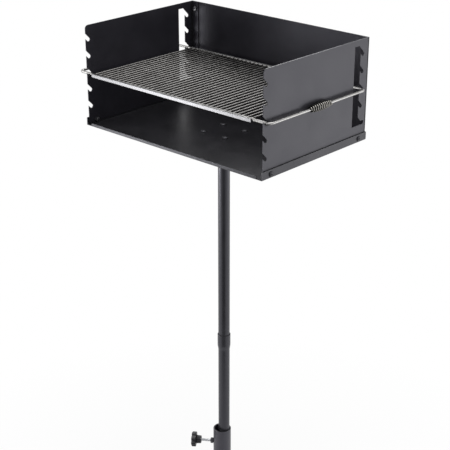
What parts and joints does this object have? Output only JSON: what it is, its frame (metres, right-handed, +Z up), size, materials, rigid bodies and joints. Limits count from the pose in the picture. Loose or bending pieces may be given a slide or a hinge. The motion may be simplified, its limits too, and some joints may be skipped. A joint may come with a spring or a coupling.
{
  "type": "park grill",
  "caption": "Open sheet metal fire box with a notched lift-out grate and coil grips, on a slim tube pole that clamps and turns in a ground sleeve.",
  "frame": {"origin": "centre of the underside of the ground sleeve's base plate", "axes": "+Z up along the pole, +X to the right of the open front, the open front of the fire box faces -Y"},
  "size_m": [0.6742, 0.4077, 1.5254],
  "materials": {
    "firebox_coat": "satin black powder coat on folded sheet steel",
    "pole_coat": "satin charcoal powder coat on steel tube",
    "hardware": "blackened steel screws and nuts",
    "bright_rod": "bright plated steel rod",
    "coil_wire": "plated spring wire, a little dull",
    "zinc_stem": "zinc plated threaded stem",
    "knob_plastic": "moulded black plastic"
  },
  "bodies": {
    "ground": {"ground_sleeve": "pole_coat", "sleeve_base_plate": "pole_coat", "clamp_nut": "pole_coat"},
    "clamp_screw": {"clamp_stem": "zinc_stem"},
    "clamp_handle": {"clamp_knob": "knob_plastic"},
    "lower_pole": {"lower_pole_tube": "pole_coat"},
    "fire_box": {"upper_pole_tube": "pole_coat", "pole_flange": "pole_coat", "flange_bolt_1": "hardware", "flange_bolt_2": "hardware", "flange_bolt_3": "hardware", "flange_bolt_4": "hardware", "flange_nut_1": "hardware", "flange_nut_2": "hardware", "flange_nut_3": "hardware", "flange_nut_4": "hardware", "firebox_tray": "firebox_coat", "left_side_panel": "firebox_coat", "right_side_panel": "firebox_coat", "back_panel": "firebox_coat", "left_front_side_bolt": "hardware", "left_front_side_nut": "hardware", "left_rear_side_bolt": "hardware", "left_rear_side_nut": "hardware", "right_front_side_bolt": "hardware", "right_front_side_nut": "hardware", "right_rear_side_bolt": "hardware", "right_rear_side_nut": "hardware", "left_lower_back_bolt": "hardware", "left_lower_back_nut": "hardware", "left_upper_back_bolt": "hardware", "left_upper_back_nut": "hardware", "right_lower_back_bolt": "hardware", "right_lower_back_nut": "hardware", "right_upper_back_bolt": "hardware", "right_upper_back_nut": "hardware"},
    "grate": {"cooking_grate": "bright_rod", "front_frame_bar": "bright_rod", "rear_frame_bar": "bright_rod", "left_coil_grip": "coil_wire", "right_coil_grip": "coil_wire"}
  },
  "joints": [
    {"name": "pole_lift", "type": "slide", "parent": "ground", "child": "lower_pole", "axis": [0, 0, 1], "range_m": [0, 0.25]},
    {"name": "head_swivel", "type": "hinge", "parent": "lower_pole", "child": "fire_box", "pos_m": [0.00459, 0.00321, 0.66], "axis": [0, 0, 1], "continuous": true},
    {"name": "grate_unhook", "type": "slide", "parent": "fire_box", "child": "grate", "axis": [0, -0.7071, 0.7071], "range_m": [0, 0.032]},
    {"name": "clamp_travel", "type": "slide", "parent": "ground", "child": "clamp_screw", "axis": [-0.8192, -0.5736, 0], "range_m": [0, 0.0032]},
    {"name": "knob_turn", "type": "hinge", "parent": "clamp_screw", "child": "clamp_handle", "pos_m": [-0.05734, -0.04015, 0.3083], "axis": [-0.8192, -0.5736, 0], "range_deg": [0, 900]}
  ],
  "couplings": [
    {"joint": "clamp_travel", "follows": "knob_turn", "m_per_rad": 0.00019894}
  ]
}
